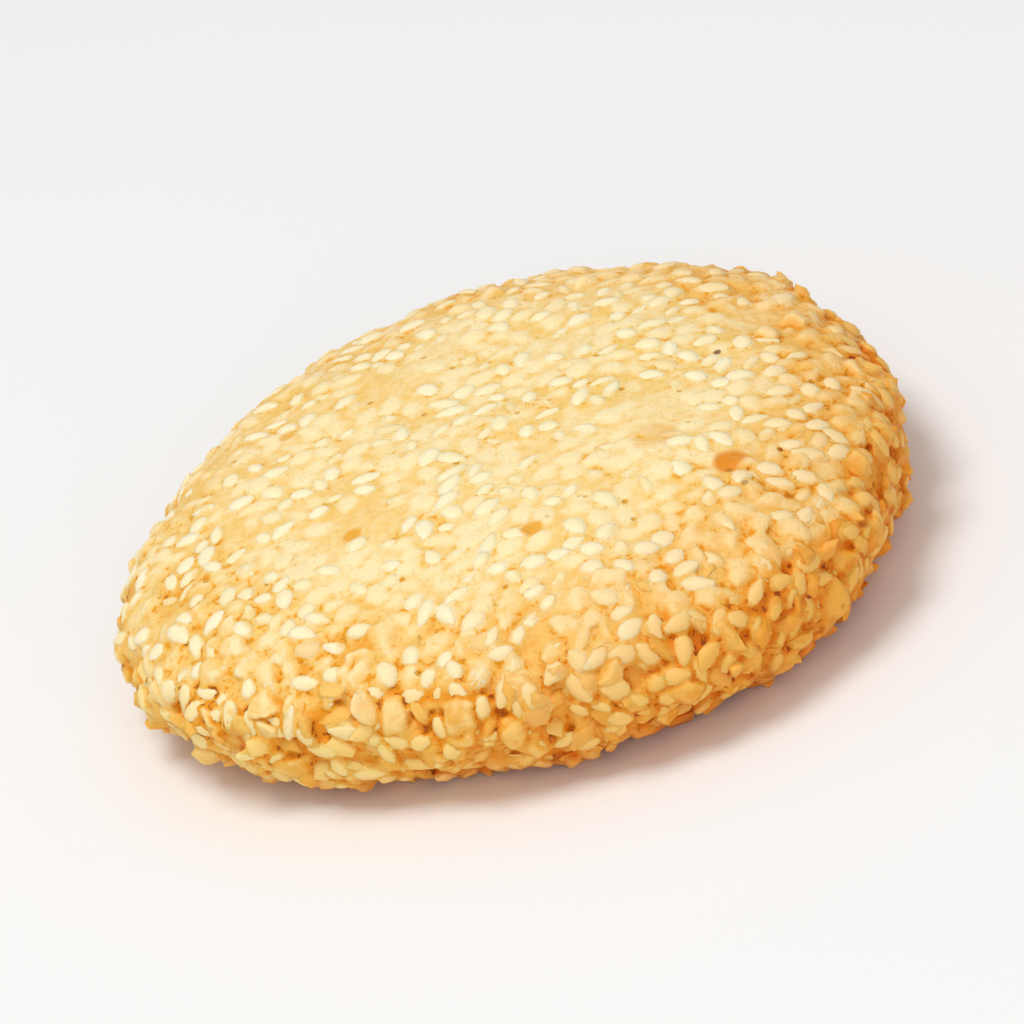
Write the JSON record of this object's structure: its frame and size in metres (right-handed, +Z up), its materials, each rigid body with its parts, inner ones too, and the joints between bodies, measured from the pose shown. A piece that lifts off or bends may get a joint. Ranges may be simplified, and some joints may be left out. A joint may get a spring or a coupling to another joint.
{
  "type": "sesame cookie",
  "caption": "Thick round baked cookie with a smooth pressed top, a crumbly side and sesame seeds set all over it; lies on its flat underside.",
  "frame": {"origin": "middle of the outline box, on the surface that the cookie lies on", "axes": "+Z up through the thickness, +X to the picture's right, +Y away from its viewer"},
  "size_m": [0.07, 0.07, 0.0171],
  "materials": {
    "baked_dough": "matte baked crust"
  },
  "bodies": {
    "root": {"sesame_cookie": "baked_dough"}
  },
  "joints": []
}
